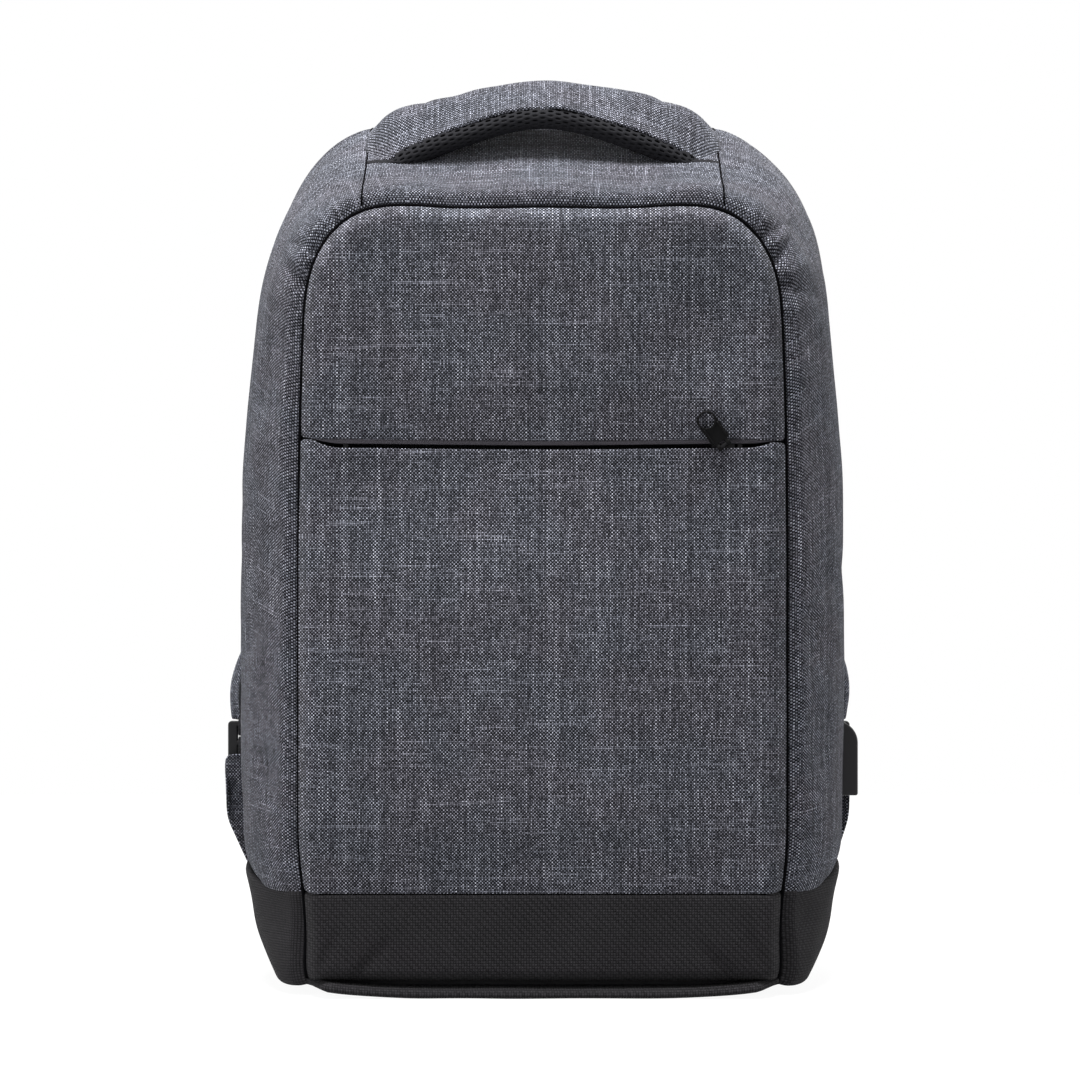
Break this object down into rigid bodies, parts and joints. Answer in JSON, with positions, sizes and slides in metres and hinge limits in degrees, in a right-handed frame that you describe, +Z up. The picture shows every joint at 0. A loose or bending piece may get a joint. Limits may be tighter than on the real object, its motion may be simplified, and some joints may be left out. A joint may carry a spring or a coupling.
{
  "type": "laptop backpack",
  "caption": "Slim laptop backpack with a zipped front pocket, a back panel that opens, padded grab handle and shoulder straps, and a small USB outlet on one side.",
  "frame": {"origin": "centre of the flat base that the bag stands on", "axes": "+X to the viewer's right seen from the front, +Y towards the wearer's back, +Z up"},
  "size_m": [0.33, 0.1891, 0.4513],
  "materials": {
    "melange_fabric": "two-tone grey plain weave",
    "black_fabric": "black coarse weave",
    "lining_fabric": "thin smooth lining",
    "stiff_board": "stiff sheet",
    "webbing": "ribbed black webbing",
    "black_plastic": "moulded",
    "dark_metal": "black paint on zinc",
    "pull_rubber": "soft moulded",
    "spacer_mesh": "open knitted mesh over foam",
    "foam": "soft foam",
    "pod_plastic": "fine moulded texture",
    "steel": "plated"
  },
  "bodies": {
    "bag_body": {"back_binding": "webbing", "base_board": "stiff_board", "base_edge_welt": "black_fabric", "base_panel": "black_fabric", "front_base_band": "black_fabric", "front_panel_upper": "melange_fabric", "front_pocket_panel": "melange_fabric", "front_zip_coil": "black_plastic", "front_zip_stops": "dark_metal", "front_zip_tape_lower": "webbing", "front_zip_tape_upper": "webbing", "gusset_base_left": "black_fabric", "gusset_base_right": "black_fabric", "main_zip_coil_body": "black_plastic", "main_zip_tape_body": "webbing", "pocket_lining": "lining_fabric", "side_gusset_left": "melange_fabric", "side_gusset_right": "melange_fabric", "top_panel": "melange_fabric", "usb_lead_gland": "black_plastic", "usb_pod_backplate": "black_plastic", "usb_pod_housing": "pod_plastic", "usb_pod_screws": "steel", "usb_socket_shell": "steel", "usb_socket_tongue": "black_plastic"},
    "back_panel": {"back_panel_lining": "lining_fabric", "back_panel_board": "stiff_board", "back_panel_cover": "spacer_mesh", "back_pad_left": "spacer_mesh", "back_pad_right": "spacer_mesh", "lumbar_pad": "spacer_mesh", "main_zip_coil_panel": "black_plastic", "main_zip_tape_panel": "webbing", "laptop_sleeve": "lining_fabric", "sleeve_closure": "webbing", "strap_anchor_left": "webbing", "strap_anchor_right": "webbing", "strap_wing_left": "melange_fabric", "strap_wing_right": "melange_fabric"},
    "strap_left": {"shoulder_strap_left": "melange_fabric", "strap_lining_left": "spacer_mesh", "ladder_lock_left": "black_plastic", "lower_webbing_left": "webbing", "buckle_loop_left": "webbing"},
    "strap_right": {"shoulder_strap_right": "melange_fabric", "strap_lining_right": "spacer_mesh", "ladder_lock_right": "black_plastic", "lower_webbing_right": "webbing", "buckle_loop_right": "webbing"},
    "handle": {"handle_cover": "melange_fabric", "handle_mesh": "spacer_mesh", "handle_core": "foam"},
    "front_slider": {"front_zip_slider": "dark_metal"},
    "front_pull": {"front_zip_pull": "pull_rubber"},
    "rear_slider": {"main_zip_slider": "dark_metal"},
    "rear_pull": {"main_zip_pull": "pull_rubber"}
  },
  "joints": [
    {"name": "back_panel_opens", "type": "hinge", "parent": "bag_body", "child": "back_panel", "pos_m": [0, 0.0625, 0.011], "axis": [-1, 0, 0], "range_deg": [0, 70]},
    {"name": "strap_right_swings", "type": "hinge", "parent": "back_panel", "child": "strap_right", "pos_m": [0.042, 0.0842, 0.406], "axis": [-0.3198, 0.0298, 0.947], "range_deg": [-10, 10]},
    {"name": "strap_left_swings", "type": "hinge", "parent": "back_panel", "child": "strap_left", "pos_m": [-0.042, 0.0842, 0.406], "axis": [0.3198, 0.0298, 0.947], "range_deg": [-10, 10]},
    {"name": "handle_swings", "type": "hinge", "parent": "bag_body", "child": "handle", "pos_m": [0, 0.01, 0.409], "axis": [1, 0, 0], "range_deg": [-20, 20]},
    {"name": "front_zip_slides", "type": "slide", "parent": "bag_body", "child": "front_slider", "axis": [1, 0, 0], "range_m": [-0.172, 0.001]},
    {"name": "front_pull_swings", "type": "hinge", "parent": "front_slider", "child": "front_pull", "pos_m": [0.0866, -0.07605, 0.2655], "axis": [0.8192, 0, 0.5736], "range_deg": [0, 170]},
    {"name": "rear_zip_slides", "type": "slide", "parent": "bag_body", "child": "rear_slider", "axis": [0, 0, 1], "range_m": [0, 0.125]},
    {"name": "rear_pull_swings", "type": "hinge", "parent": "rear_slider", "child": "rear_pull", "pos_m": [-0.1526, 0.0625, 0.102], "axis": [0, 1, 0], "range_deg": [0, 150]}
  ]
}
